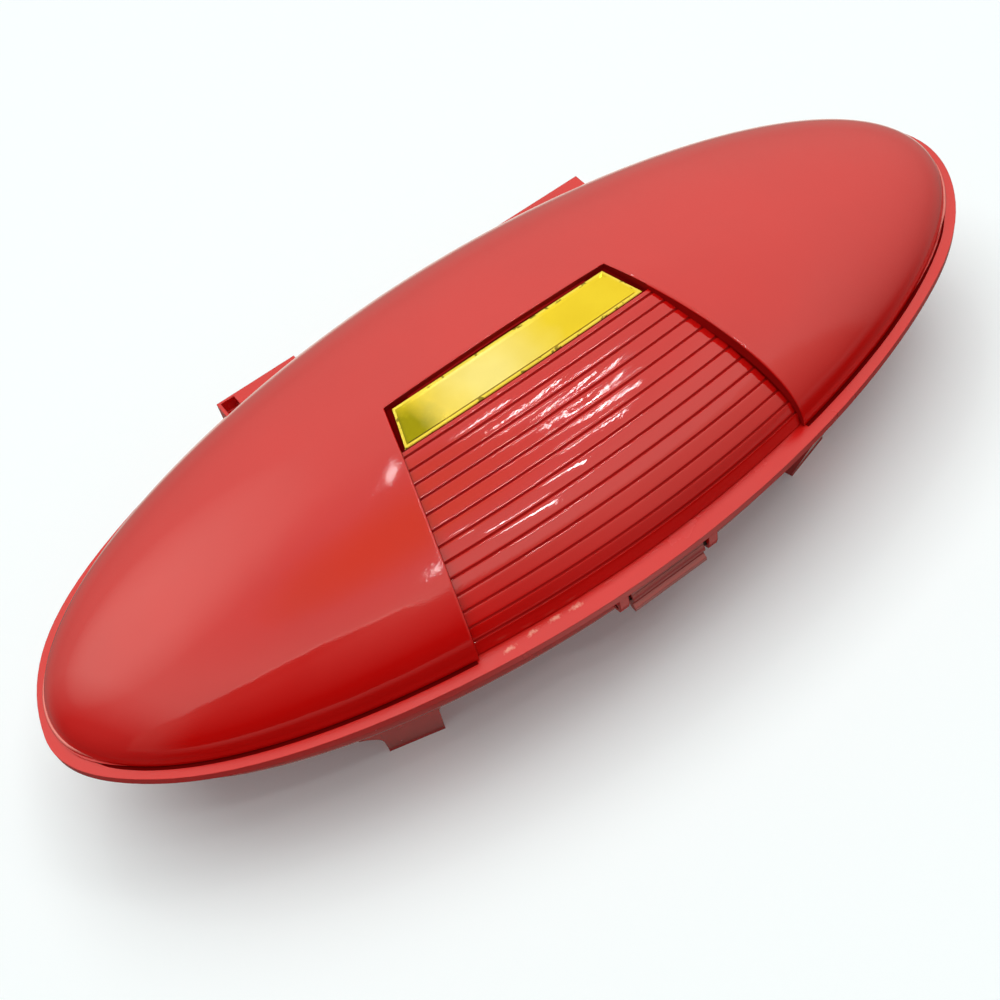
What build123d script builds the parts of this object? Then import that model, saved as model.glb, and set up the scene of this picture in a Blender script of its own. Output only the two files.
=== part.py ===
from build123d import *
import math
import os

os.makedirs("parts", exist_ok=True)

# Sizes in mm. The floor is z = 0, the length runs along X and the hinge is at the back (+Y).

# rim (the flat ledge round the lid) and its plan outline
rim_half_length = 136.5
rim_half_width = 57.0
rim_power_x = 1.87
rim_power_y = 2.06
rim_top = 44.0
rim_thickness = 2.4

# lid dome, set in from the rim so that the ledge shows all round
ledge_at_ends = 2.7
ledge_at_sides = 4.2
lid_half_length = rim_half_length - ledge_at_ends
lid_half_width = rim_half_width - ledge_at_sides
lid_power_x = 1.913
lid_power_y = 2.019
lid_height = 28.0
lid_wall = 2.2
lid_gap = 0.3
lip_wall = 1.6
lip_depth = 1.9
lip_gap = 0.6

# base bowl, set in under the rim
bowl_in_at_ends = 3.5
bowl_in_at_sides = 4.0
bowl_half_length = rim_half_length - bowl_in_at_ends
bowl_half_width = rim_half_width - bowl_in_at_sides
bowl_wall = 2.2
bowl_upright = 7.0
bowl_upright_bottom = rim_top - bowl_upright
bowl_floor_gap = 6.0
bowl_depth = bowl_upright_bottom - bowl_floor_gap

# sunk ribbed panel in the lid: plan trapezoid and section, heights measured from the rim.
# The section is drawn for a lid of this half width and height, and follows the lid.
panel_drawn_width = 52.8
panel_drawn_height = 28.0
panel_across = lid_half_width / panel_drawn_width
panel_up = lid_height / panel_drawn_height
recess_back = 4.6
plate_half_back = 31.1
plate_side_gap = 1.3
recess_half_back = plate_half_back + plate_side_gap
recess_slope = 0.301
recess_front = -60.0
groove_y = [-9.2, -12.6, -16.05, -19.6, -23.4, -27.2, -30.95, -34.5, -38.0, -41.5, -44.9, -48.0, -50.2]
groove_z = [24.6, 23.8, 22.8, 21.7, 20.5, 19.25, 17.85, 16.2, 14.4, 12.4, 10.0, 7.4, 4.4]
groove_half_width = 0.35
groove_depth = 0.6
panel_foot_y = -51.6
seat_back = 4.1
seat_front = -7.6
seat_depth = 1.2
panel_inner = [(12.0, 24.4), (0.0, 22.9), (-9.0, 21.7), (-20.0, 19.2), (-30.0, 16.0), (-38.0, 12.1),
               (-44.0, 8.2), (-47.8, 4.0), (-49.6, -2.0)]

# name plate
plate_back = 3.85
plate_front = -7.3
plate_thickness = 1.0
plate_slope = 0.345
stud_x = 24.0
stud_y = -1.7
stud_radius = 1.0
nut_radius = 2.6
nut_thickness = 0.6

# feet
foot_x = 65.0
foot_y = 33.6
foot_width = 15.0
foot_length = 8.0
foot_turn = 15.0

# hinge
rim_trim = 1.0
wing_back = rim_half_width - rim_trim
hinge_y = wing_back - 1.8
hinge_z = rim_top - 1.0
hinge_pin_radius = 0.9
running_gap = 0.05
wing_front = bowl_half_width - 2.5
wing_left = -57.5
wing_right = 60.5
wing_top = rim_top + 1.0
wing_bottom = rim_top - 5.0
wing_raised_from = 33.5
ear_x = 30.0
ear_width = 3.8
ear_radius = 1.8
ear_pocket_width = 4.6
end_pocket_from = -56.6
end_pocket_to = -52.6
hinge_pin_from = -52.4
hinge_pin_to = 44.6

# latch
latch_half_width = 10.8
latch_axis_y = -bowl_half_width - 2.0
latch_axis_z = rim_top - 6.5
latch_pin_radius = 0.7
latch_barrel_radius = 1.6
latch_top = latch_axis_z + 3.5
latch_bottom = latch_axis_z - 4.3
cheek_inner = 12.0
cheek_outer = 14.6
tongue_half_width = 7.0
tongue_face = -bowl_half_width + 4.0
tongue_wall = 1.6
tongue_bottom = rim_top - 8.5
latch_nose_tip = tongue_face - 0.6

# tray and what it holds
tray_top = rim_top - 8.0
tray_plate = 1.5
tray_wall = 1.4
tray_half_length = bowl_half_length - 4.5
tray_half_width = bowl_half_width - 4.2
well_from = -50.0
well_to = 40.0
well_half_width = 27.0
well_depth = 18.0
well_floor = tray_top - well_depth
rack_well_from = 47.0
rack_well_to = 91.0
rack_well_half = 17.5
rack_well_depth = 14.1
rack_well_floor = tray_top - rack_well_depth
post_inset = 16.5
post_x = tray_half_length - post_inset
post_radius = 3.4
screw_radius = 1.5
screw_head_radius = 3.0
screw_head = 1.6
fit_gap = 0.3

template_thickness = 2.0
template_width = 32.0
template_height = 26.0
template_pitch = 7.6
template_first_x = 53.8
template_bottom = rack_well_floor + 2.5
template_names = ["one", "two", "three", "four", "five"]
template_slots = [8.0, 10.0, 13.0, 16.0, 19.0]

cover_post_gap = 9.0
cover_well_gap = 11.0
cover_from = -post_x + cover_post_gap
cover_to = well_from - cover_well_gap
cover_half_width = 20.0
cover_thickness = 1.4
cover_screw_inset = 6.0
cover_screw_x = cover_from + cover_screw_inset
cover_screw_radius = 2.0
cover_head_radius = 5.0
cover_head = 5.0
cover_shank = 9.0


def oval_y(x, half_length, half_width, power_x, power_y):
    share = min(abs(x) / half_length, 1.0)
    return half_width * (1.0 - share ** power_x) ** (1.0 / power_y)


def lid_share(x):
    return oval_y(x, lid_half_length, 1.0, lid_power_x, lid_power_y)


def oval_points(half_length, half_width, power_x, power_y, steps=8):
    upper = []
    for i in range(steps + 1):
        x = half_length * math.sin(math.pi * (i / steps - 0.5))
        upper.append((x, oval_y(x, half_length, half_width, power_x, power_y)))
    lower = [(x, -y) for x, y in upper[::-1][1:-1]]
    return upper + lower


def oval_line(half_length, half_width, power_x, power_y):
    Spline(*oval_points(half_length, half_width, power_x, power_y), periodic=True)


def stacked(half_length, half_width, levels):
    # a smooth solid through level ovals, each level given as (share of the size, height)
    with BuildPart() as body:
        for share, height in levels:
            with BuildSketch(Plane.XY.offset(height)):
                with BuildLine():
                    oval_line(half_length * share, half_width * share, lid_power_x, lid_power_y)
                make_face()
        loft()
    return body.part


def dome_levels(height, angles, start):
    levels = [(1.0, start)]
    for angle in angles:
        levels.append((math.cos(math.radians(angle)), height * math.sin(math.radians(angle))))
    return levels


def drawn(y, z, share):
    # a point of the panel section at a place along the lid where the dome is this much lower
    return y * panel_across * share, z * panel_up * share


def save(body, name):
    part = Pos(0, (rim_half_width - wing_back) / 2, 0) * body
    part.label = name
    export_step(part, "parts/" + name + ".step")


dome_angles = [0, 12, 25, 38, 50, 62, 72, 80, 84.8]
bowl_angles = [0, 15, 30, 45, 60, 72]
lid_outer = stacked(lid_half_length, lid_half_width, dome_levels(lid_height, dome_angles, -2.0))
lid_inner = stacked(lid_half_length - lid_wall, lid_half_width - lid_wall,
                    dome_levels(lid_height - lid_wall, dome_angles, -2.0))
bowl_rise = rim_top - 0.5 - bowl_upright_bottom
bowl_outer = stacked(bowl_half_length, bowl_half_width, dome_levels(-bowl_depth, bowl_angles, bowl_rise))
bowl_inner = stacked(bowl_half_length - bowl_wall, bowl_half_width - bowl_wall,
                     dome_levels(-bowl_depth + bowl_wall, bowl_angles, bowl_rise + 2.0))

# ribbed panel section: plate seat at the back, then grooves down to the foot
panel_section = [(12.0, 27.5), (seat_back, 26.4), (seat_back, 26.4 - seat_depth),
                 (seat_front, 24.75 - seat_depth), (seat_front, 24.85)]
for gy, gz in zip(groove_y, groove_z):
    panel_section += [(gy + groove_half_width, gz + 0.12), (gy, gz - groove_depth),
                      (gy - groove_half_width, gz - 0.12)]
panel_section += [(panel_foot_y, 0.0), (panel_foot_y, -8.0), (12.0, -8.0)]

station_x = [-53.0, -27.0, 0.0, 27.0, 53.0]

with BuildPart() as panel_body:
    for x in station_x:
        share = lid_share(x)
        with BuildSketch(Plane.YZ.offset(x)):
            with BuildLine():
                Polyline([drawn(y, z, share) for y, z in panel_section], close=True)
            make_face()
    loft()

with BuildPart() as panel_core:
    for x in station_x:
        share = lid_share(x)
        inner = [drawn(y, z, share) for y, z in panel_inner]
        with BuildSketch(Plane.YZ.offset(x * 1.06)):
            with BuildLine():
                Spline(*inner)
                Polyline(inner[-1], (inner[-1][0], -12.0), (inner[0][0], -12.0), inner[0])
            make_face()
    loft()


def recess_corners(grow):
    back = recess_back * panel_across + grow
    front = recess_front * panel_across
    half_back = recess_half_back + grow * 1.05
    half_front = recess_half_back + grow * 1.05 + recess_slope * (back - front)
    return [(-half_back, back), (half_back, back), (half_front, front), (-half_front, front)]


with BuildPart() as recess_cut:
    with BuildSketch(Plane.XY.offset(-1.0)):
        with BuildLine():
            Polyline(recess_corners(0.0), close=True)
        make_face()
    extrude(amount=40.0)
    add(panel_body.part, mode=Mode.SUBTRACT)

with BuildPart() as recess_core:
    with BuildSketch(Plane.XY.offset(-1.0)):
        with BuildLine():
            Polyline(recess_corners(lid_wall), close=True)
        make_face()
    extrude(amount=40.0)
    add(panel_core.part, mode=Mode.SUBTRACT)

with BuildPart() as lid_hollow:
    add(lid_inner)
    add(recess_core.part, mode=Mode.SUBTRACT)

with BuildPart() as lid_shell:
    add(Pos(0, 0, rim_top) * lid_outer)
    with BuildSketch(Plane.XY.offset(rim_top + lid_gap)):
        Rectangle(2.2 * rim_half_length, 2.4 * rim_half_width)
    extrude(amount=-60, mode=Mode.SUBTRACT)
    # hinge ears
    for side in (-1, 1):
        with BuildSketch(Plane.YZ.offset(side * ear_x - ear_width / 2)):
            with BuildLine():
                Polyline([(hinge_y - 7.2, hinge_z + 1.5), (hinge_y - 7.2, hinge_z + 4.8),
                          (hinge_y + 0.8, hinge_z + 1.6), (hinge_y, hinge_z),
                          (hinge_y - 1.5, hinge_z + 0.6), (hinge_y - 1.9, hinge_z + 1.5)], close=True)
            make_face()
        extrude(amount=ear_width)
        with BuildSketch(Plane.YZ.offset(side * ear_x - ear_width / 2)):
            with Locations((hinge_y, hinge_z)):
                Circle(ear_radius)
        extrude(amount=ear_width)
    add(Pos(0, 0, rim_top) * recess_cut.part, mode=Mode.SUBTRACT)
    add(Pos(0, 0, rim_top) * lid_hollow.part, mode=Mode.SUBTRACT)
    # locating lip that drops into the mouth of the base
    with BuildSketch(Plane.XY.offset(rim_top + lid_gap)):
        with BuildLine():
            oval_line(lid_half_length - 1.8, lid_half_width - 1.9, lid_power_x, lid_power_y)
        make_face()
        with BuildLine():
            oval_line(bowl_half_length - bowl_wall - lip_gap - lip_wall,
                      bowl_half_width - bowl_wall - lip_gap - lip_wall, lid_power_x, lid_power_y)
        make_face(mode=Mode.SUBTRACT)
    extrude(amount=1.7)
    with BuildSketch(Plane.XY.offset(rim_top + lid_gap + 0.2)):
        with BuildLine():
            oval_line(bowl_half_length - bowl_wall - lip_gap, bowl_half_width - bowl_wall - lip_gap,
                      lid_power_x, lid_power_y)
        make_face()
        with BuildLine():
            oval_line(bowl_half_length - bowl_wall - lip_gap - lip_wall,
                      bowl_half_width - bowl_wall - lip_gap - lip_wall, lid_power_x, lid_power_y)
        make_face(mode=Mode.SUBTRACT)
    extrude(amount=-lip_depth)
    # front tongue with its catch window
    with BuildSketch(Plane.XY.offset(tongue_bottom)):
        with Locations((0, tongue_face + tongue_wall / 2)):
            Rectangle(2 * tongue_half_width, tongue_wall)
    extrude(amount=rim_top + 2.0 - tongue_bottom)
    with BuildSketch(Plane.XZ.offset(-tongue_face + 1.0)):
        with Locations((0, latch_axis_z + 3.1)):
            Rectangle(2 * tongue_half_width - 3.2, 3.2)
    extrude(amount=-4.0, mode=Mode.SUBTRACT)
    # hinge pin bore
    with BuildSketch(Plane.YZ.offset(-ear_x - 5)):
        with Locations((hinge_y, hinge_z)):
            Circle(hinge_pin_radius + running_gap)
    extrude(amount=2 * ear_x + 10, mode=Mode.SUBTRACT)
    # holes for the plate studs
    with BuildSketch(Plane.XY.offset(rim_top + 15)):
        with Locations((-stud_x, stud_y), (stud_x, stud_y)):
            Circle(stud_radius + running_gap)
    extrude(amount=16, mode=Mode.SUBTRACT)

save(lid_shell.part, "lid_shell")


def plate_top(y):
    return 24.68 + (y - plate_front) * 0.151


with BuildPart() as name_plate:
    section = [(plate_back, plate_top(plate_back)), (plate_front, plate_top(plate_front)),
               (plate_front, plate_top(plate_front) - plate_thickness),
               (plate_back, plate_top(plate_back) - plate_thickness)]
    for x in station_x:
        share = lid_share(x)
        with BuildSketch(Plane.YZ.offset(x)):
            with BuildLine():
                points = [drawn(y, z, share) for y, z in section]
                Polyline([(y, rim_top + z) for y, z in points], close=True)
            make_face()
    loft()
    half_front = plate_half_back + plate_slope * (plate_back - plate_front)
    with BuildSketch(Plane.XY.offset(rim_top + 10)):
        with BuildLine():
            Polyline([(-plate_half_back, plate_back + 1), (plate_half_back, plate_back + 1),
                      (half_front, plate_front - 1), (-half_front, plate_front - 1)], close=True)
        make_face()
    extrude(amount=30, mode=Mode.INTERSECT)
    with BuildSketch(Plane.XY.offset(rim_top + 19.6 * panel_up)):
        with Locations((-stud_x, stud_y), (stud_x, stud_y)):
            Circle(stud_radius)
    extrude(amount=4.9 * panel_up)

save(name_plate.part, "name_plate")

nut_top = rim_top + 21.4 * panel_up
with BuildPart() as push_nuts:
    with BuildSketch(Plane.XY.offset(nut_top)):
        with Locations((-stud_x, stud_y), (stud_x, stud_y)):
            Circle(nut_radius)
            Circle(stud_radius + 0.02, mode=Mode.SUBTRACT)
    extrude(amount=-nut_thickness)

save(push_nuts.part, "name_plate_push_nuts")

foot_top = bowl_upright_bottom - 1.0
with BuildPart() as base_shell:
    # upright wall and bowl in one
    add(Pos(0, 0, bowl_upright_bottom) * bowl_outer)
    # feet
    for side_x in (-1, 1):
        for side_y in (-1, 1):
            turn = -side_x * side_y * foot_turn
            place = Plane(origin=(side_x * foot_x, side_y * foot_y, 0),
                          x_dir=(-side_y * math.sin(math.radians(turn)),
                                 side_y * math.cos(math.radians(turn)), 0),
                          z_dir=(side_y * math.cos(math.radians(turn)),
                                 side_y * math.sin(math.radians(turn)), 0))
            with BuildSketch(place):
                with BuildLine():
                    Polyline([(0.0, 0.0), (0.0, 1.2), (11.6, foot_top), (11.6, foot_top + 4.0), (-4.0, foot_top),
                              (-foot_length, 8.0), (-foot_length, 0.0)], close=True)
                make_face()
            extrude(amount=foot_width / 2, both=True)
    # rim
    with BuildSketch(Plane.XY.offset(rim_top - rim_thickness)):
        with BuildLine():
            oval_line(rim_half_length, rim_half_width, rim_power_x, rim_power_y)
        make_face()
        with Locations((0, wing_back + 20)):
            Rectangle(2.2 * rim_half_length, 40, mode=Mode.SUBTRACT)
    extrude(amount=rim_thickness)
    # rear wings
    with BuildSketch(Plane.XY.offset(wing_bottom)):
        with Locations(((wing_left + wing_right) / 2, (wing_front + wing_back) / 2)):
            Rectangle(wing_right - wing_left, wing_back - wing_front)
    extrude(amount=rim_top - wing_bottom)
    with BuildSketch(Plane.XY.offset(rim_top)):
        for start, end in ((wing_left, -wing_raised_from), (wing_raised_from, wing_right)):
            with Locations(((start + end) / 2, wing_back - 6.0)):
                Rectangle(end - start, 12.0)
        with BuildLine():
            oval_line(lid_half_length + 0.5, lid_half_width + 0.5, lid_power_x, lid_power_y)
        make_face(mode=Mode.SUBTRACT)
    extrude(amount=wing_top - rim_top)
    # latch cheeks
    for side in (-1, 1):
        with BuildSketch(Plane.YZ.offset(side * (cheek_inner + cheek_outer) / 2)):
            with BuildLine():
                Polyline([(latch_axis_y + 3.0, latch_axis_z - 1.3), (latch_axis_y + 0.6, latch_axis_z - 2.1),
                          (latch_axis_y - 1.2, latch_axis_z - 1.3), (latch_axis_y - 1.6, latch_axis_z + 0.5),
                          (latch_axis_y - 1.6, rim_top - 1.6), (latch_axis_y + 3.0, rim_top - 1.6)],
                         close=True)
            make_face()
        extrude(amount=(cheek_outer - cheek_inner) / 2, both=True)
    # hollow
    add(Pos(0, 0, bowl_upright_bottom) * bowl_inner, mode=Mode.SUBTRACT)
    # tray posts
    with BuildSketch(Plane.XY.offset(tray_top - tray_plate)):
        with Locations((-post_x, 0), (post_x, 0)):
            Circle(post_radius)
    extrude(amount=-14)
    with BuildSketch(Plane.XY.offset(well_floor - tray_wall)):
        with Locations((-30, 0), (20, 0)):
            Circle(4.5)
    extrude(amount=-9.5)
    with BuildSketch(Plane.XY.offset(tray_top - tray_plate)):
        with Locations((-post_x, 0), (post_x, 0)):
            Circle(screw_radius + running_gap)
    extrude(amount=-9, mode=Mode.SUBTRACT)
    # hinge pockets, end pocket and bore
    for side in (-1, 1):
        with BuildSketch(Plane.XY.offset(hinge_z - ear_radius - fit_gap)):
            with Locations((side * ear_x, hinge_y + 0.2)):
                Rectangle(ear_pocket_width, 6.0)
        extrude(amount=8, mode=Mode.SUBTRACT)
    with BuildSketch(Plane.XY.offset(hinge_z - 2.0)):
        with Locations(((end_pocket_from + end_pocket_to) / 2, hinge_y - 1.2)):
            Rectangle(end_pocket_to - end_pocket_from, 4.6)
    extrude(amount=8, mode=Mode.SUBTRACT)
    with BuildSketch(Plane.YZ.offset(end_pocket_from + 1.0)):
        with Locations((hinge_y, hinge_z)):
            Circle(hinge_pin_radius + running_gap)
    extrude(amount=hinge_pin_to + 0.2 - end_pocket_from - 1.0, mode=Mode.SUBTRACT)
    # latch window, core slots beside the cheeks and pin bore
    with BuildSketch(Plane.XZ.offset(bowl_half_width - 3.0)):
        with Locations((0, latch_axis_z + 3.4)):
            Rectangle(11.6, 4.0)
    extrude(amount=6.4, mode=Mode.SUBTRACT)
    with BuildSketch(Plane.XZ.offset(bowl_half_width - 4.0)):
        for side in (-1, 1):
            with BuildLine():
                Polyline([(side * (cheek_outer + 0.8), latch_axis_z - 0.5),
                          (side * (cheek_outer + 0.8), latch_axis_z + 3.5),
                          (side * (cheek_outer + 4.6), latch_axis_z + 2.5)], close=True)
            make_face()
    extrude(amount=5.0, mode=Mode.SUBTRACT)
    with BuildSketch(Plane.YZ.offset(-cheek_outer - 1)):
        with Locations((latch_axis_y, latch_axis_z)):
            Circle(latch_pin_radius + running_gap)
    extrude(amount=2 * cheek_outer + 2, mode=Mode.SUBTRACT)

save(base_shell.part, "base_shell")

with BuildPart() as hinge_pin:
    with BuildSketch(Plane.YZ.offset(hinge_pin_from)):
        with Locations((hinge_y, hinge_z)):
            Circle(hinge_pin_radius)
    extrude(amount=hinge_pin_to - hinge_pin_from)

save(hinge_pin.part, "hinge_pin")

with BuildPart() as latch_lever:
    with BuildSketch(Plane.YZ.offset(-latch_half_width)):
        with BuildLine():
            Polyline([(latch_axis_y - 0.9, latch_top), (latch_axis_y - 0.9, latch_bottom + 2.0),
                      (latch_axis_y - 1.9, latch_bottom + 1.2), (latch_axis_y - 1.9, latch_bottom),
                      (latch_axis_y - 0.4, latch_bottom), (latch_axis_y + 0.5, latch_bottom + 1.4),
                      (latch_axis_y + 0.5, latch_top)], close=True)
        make_face()
        with Locations((latch_axis_y, latch_axis_z)):
            Circle(latch_barrel_radius)
    extrude(amount=2 * latch_half_width)
    with BuildSketch(Plane.YZ.offset(-5.0)):
        with BuildLine():
            Polyline([(latch_axis_y, latch_top - 1.5), (latch_nose_tip, latch_top - 1.5),
                      (latch_nose_tip, latch_top - 0.8),
                      (latch_nose_tip - 0.8, latch_top), (latch_axis_y, latch_top)], close=True)
        make_face()
    extrude(amount=10.0)
    with BuildSketch(Plane.YZ.offset(-latch_half_width - 1)):
        with Locations((latch_axis_y, latch_axis_z)):
            Circle(latch_pin_radius + running_gap)
    extrude(amount=2 * latch_half_width + 2, mode=Mode.SUBTRACT)

save(latch_lever.part, "latch_lever")

with BuildPart() as latch_pin:
    with BuildSketch(Plane.YZ.offset(-cheek_outer + 0.2)):
        with Locations((latch_axis_y, latch_axis_z)):
            Circle(latch_pin_radius)
    extrude(amount=2 * cheek_outer - 0.4)

save(latch_pin.part, "latch_pin")

wall_face = -bowl_half_width
lever_side = latch_axis_y + 0.75
leaf_top = latch_axis_z - 1.5
with BuildPart() as latch_spring:
    with BuildSketch(Plane.YZ.offset(-3.0)):
        with BuildLine():
            Polyline([(wall_face, leaf_top), (wall_face - 0.4, leaf_top), (wall_face - 0.4, leaf_top - 1.0),
                      (lever_side, leaf_top - 1.65), (lever_side, leaf_top - 2.4),
                      (lever_side + 0.4, leaf_top - 2.4), (lever_side + 0.4, leaf_top - 1.9),
                      (wall_face, leaf_top - 1.25)], close=True)
        make_face()
    extrude(amount=6.0)

save(latch_spring.part, "latch_spring")

tray_under = tray_top - tray_plate
with BuildPart() as inner_tray:
    with BuildSketch(Plane.XY.offset(tray_under)):
        with BuildLine():
            oval_line(tray_half_length, tray_half_width, lid_power_x, lid_power_y)
        make_face()
        with Locations((0, tongue_face - 1.0)):
            Rectangle(2 * tongue_half_width + 4.0, 8.0, mode=Mode.SUBTRACT)
    extrude(amount=tray_plate)
    # large well
    with BuildSketch(Plane.XY.offset(well_floor - tray_wall)):
        with Locations(((well_from + well_to) / 2, 0)):
            RectangleRounded(well_to - well_from + 2 * tray_wall, 2 * (well_half_width + tray_wall), 8.0)
    extrude(amount=tray_under - well_floor + tray_wall + 0.5)
    # well for the template rack
    with BuildSketch(Plane.XY.offset(rack_well_floor - tray_wall)):
        with Locations(((rack_well_from + rack_well_to) / 2, 0)):
            RectangleRounded(rack_well_to - rack_well_from + 2 * tray_wall, 2 * (rack_well_half + tray_wall), 4.0)
    extrude(amount=tray_under - rack_well_floor + tray_wall + 0.5)
    # seat for the cover plate and boss for its screw
    with BuildSketch(Plane.XY.offset(tray_under - 1.6)):
        with Locations(((cover_from + cover_to) / 2, 0)):
            RectangleRounded(cover_to - cover_from + 3.6, 2 * cover_half_width + 3.6, 3.0)
    extrude(amount=2.0)
    with BuildSketch(Plane.XY.offset(tray_under - 9.0)):
        with Locations((cover_screw_x, 0)):
            Circle(4.2)
    extrude(amount=8.0)
    with BuildSketch(Plane.XY.offset(well_floor)):
        with Locations(((well_from + well_to) / 2, 0)):
            RectangleRounded(well_to - well_from, 2 * well_half_width, 6.6)
    extrude(amount=30, mode=Mode.SUBTRACT)
    with BuildSketch(Plane.XY.offset(rack_well_floor)):
        with Locations(((rack_well_from + rack_well_to) / 2, 0)):
            RectangleRounded(rack_well_to - rack_well_from, 2 * rack_well_half, 2.6)
    extrude(amount=30, mode=Mode.SUBTRACT)
    with BuildSketch(Plane.XY.offset(tray_top - cover_thickness - 0.2)):
        with Locations(((cover_from + cover_to) / 2, 0)):
            RectangleRounded(cover_to - cover_from + 2 * fit_gap, 2 * cover_half_width + 2 * fit_gap, 2.0)
        with Locations(((cover_from + cover_to) / 2, cover_half_width)):
            Circle(7.0)
        with Locations(((cover_from + cover_to) / 2, -cover_half_width)):
            Circle(7.0)
    extrude(amount=6, mode=Mode.SUBTRACT)
    with BuildSketch(Plane.XY.offset(tray_top)):
        with Locations((cover_screw_x, 0)):
            Circle(cover_screw_radius + running_gap)
        with Locations((-post_x, 0), (post_x, 0)):
            Circle(screw_radius + 0.2)
    extrude(amount=-30, mode=Mode.SUBTRACT)

save(inner_tray.part, "inner_tray")

with BuildPart() as tray_screws:
    with BuildSketch(Plane.XY.offset(tray_top)):
        with Locations((-post_x, 0), (post_x, 0)):
            Circle(screw_head_radius)
    extrude(amount=screw_head)
    with BuildSketch(Plane.XY.offset(tray_top)):
        with Locations((-post_x, 0), (post_x, 0)):
            Circle(screw_radius)
    extrude(amount=-9.5)
    with BuildSketch(Plane.XY.offset(tray_top + screw_head)):
        with Locations((-post_x, 0), (post_x, 0)):
            Rectangle(4.6, 0.8)
    extrude(amount=-0.8, mode=Mode.SUBTRACT)

save(tray_screws.part, "tray_screws")

template_x = [template_first_x + i * template_pitch for i in range(len(template_names))]

with BuildPart() as template_rack:
    rack_half = rack_well_half - fit_gap
    with BuildSketch(Plane.XY.offset(rack_well_floor)):
        with Locations(((rack_well_from + rack_well_to) / 2, 0)):
            RectangleRounded(rack_well_to - rack_well_from - 2 * fit_gap, 2 * rack_half, 2.4)
    extrude(amount=tray_top + 1.0 - rack_well_floor)
    with BuildSketch(Plane.XY.offset(template_bottom)):
        for x in template_x:
            with Locations((x, 0)):
                Rectangle(template_thickness + 2 * fit_gap, template_width + 2 * fit_gap)
    extrude(amount=20, mode=Mode.SUBTRACT)
    with BuildSketch(Plane.XY.offset(30.0)):
        with Locations(((rack_well_from + rack_well_to) / 2, 0)):
            Rectangle(rack_well_to - rack_well_from - 6.0, 14.0)
    extrude(amount=20, mode=Mode.SUBTRACT)

save(template_rack.part, "template_rack")

for x, slot, name in zip(template_x, template_slots, template_names):
    with BuildPart() as template:
        with BuildSketch(Plane.YZ.offset(x - template_thickness / 2)):
            with Locations((0, template_bottom + template_height / 2)):
                RectangleRounded(template_width, template_height, 3.0)
            with Locations((0, template_bottom + template_height * 0.56)):
                SlotOverall(slot + 7.0, 6.0, mode=Mode.SUBTRACT)
            with Locations((-11.5, template_bottom + 5.0), (11.5, template_bottom + 5.0)):
                Circle(1.5, mode=Mode.SUBTRACT)
        extrude(amount=template_thickness)
    save(template.part, "template_" + name)

cover_z = tray_top - cover_thickness
with BuildPart() as feed_cover_plate:
    with BuildSketch(Plane.XY.offset(cover_z)):
        with Locations(((cover_from + cover_to) / 2, 0)):
            RectangleRounded(cover_to - cover_from, 2 * cover_half_width, 2.0)
        with Locations((cover_screw_x, 0)):
            Circle(cover_screw_radius + 0.3, mode=Mode.SUBTRACT)
        with Locations((cover_to - 15.0, 0)):
            SlotOverall(12.0, 5.0, mode=Mode.SUBTRACT)
    extrude(amount=cover_thickness)

save(feed_cover_plate.part, "feed_cover_plate")

with BuildPart() as cover_plate_screw:
    with BuildSketch(Plane.XY.offset(tray_top)):
        with Locations((cover_screw_x, 0)):
            Circle(cover_head_radius)
    extrude(amount=cover_head)
    chamfer(faces().sort_by(Axis.Z)[-1].edges(), length=0.6)
    with BuildSketch(Plane.XY.offset(tray_top)):
        with Locations((cover_screw_x, 0)):
            Circle(cover_screw_radius)
    extrude(amount=-cover_shank)

save(cover_plate_screw.part, "cover_plate_screw")
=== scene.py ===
import math

import bmesh
import bpy
import numpy as np
from mathutils import Matrix, Vector


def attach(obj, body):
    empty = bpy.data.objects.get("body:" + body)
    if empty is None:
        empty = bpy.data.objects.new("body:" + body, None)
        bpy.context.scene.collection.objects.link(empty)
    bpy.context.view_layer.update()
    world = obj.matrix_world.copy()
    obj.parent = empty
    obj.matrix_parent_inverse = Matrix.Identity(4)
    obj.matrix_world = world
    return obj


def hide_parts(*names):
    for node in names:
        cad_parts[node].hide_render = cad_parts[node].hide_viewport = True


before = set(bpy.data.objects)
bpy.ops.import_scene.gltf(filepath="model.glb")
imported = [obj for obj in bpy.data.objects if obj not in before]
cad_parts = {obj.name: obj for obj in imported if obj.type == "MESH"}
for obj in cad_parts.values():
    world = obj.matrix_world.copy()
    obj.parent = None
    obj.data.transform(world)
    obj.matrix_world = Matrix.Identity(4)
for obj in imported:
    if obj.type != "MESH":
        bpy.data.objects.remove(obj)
scene = bpy.context.scene
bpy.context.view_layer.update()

# Sizes in mm, in the part's own drawing frame. shift_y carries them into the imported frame.
MM = 0.001
shift_y = 0.5
rim_top = 44.0
lid_half_length, lid_half_width = 133.8, 52.8
lid_power_x, lid_power_y = 1.913, 2.019
lid_height = 28.0
lid_foot = 0.3
skin_end = rim_top + lid_foot
recess_back, recess_half_back, recess_slope = 4.6, 32.4, 0.301
seat_front = -7.6
plate_back, plate_front = 3.85, -7.3
plate_half_back, plate_slope = 31.1, 0.345
groove_y = [-9.2, -12.6, -16.05, -19.6, -23.4, -27.2, -30.95, -34.5, -38.0, -41.5, -44.9, -48.0, -50.2]
groove_z = [24.6, 23.8, 22.8, 21.7, 20.5, 19.25, 17.85, 16.2, 14.4, 12.4, 10.0, 7.4, 4.4]


def to_frame(points):
    points = np.asarray(points, float)
    return (points + np.array([0.0, shift_y, 0.0])) * MM


def halve(is_short, lo, hi, steps):
    # closes in on where is_short stops being true, for a whole row of values at once
    for step in range(steps):
        mid = (lo + hi) / 2
        short = is_short(mid)
        lo = np.where(short, mid, lo)
        hi = np.where(short, hi, mid)
    return lo, hi


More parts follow.
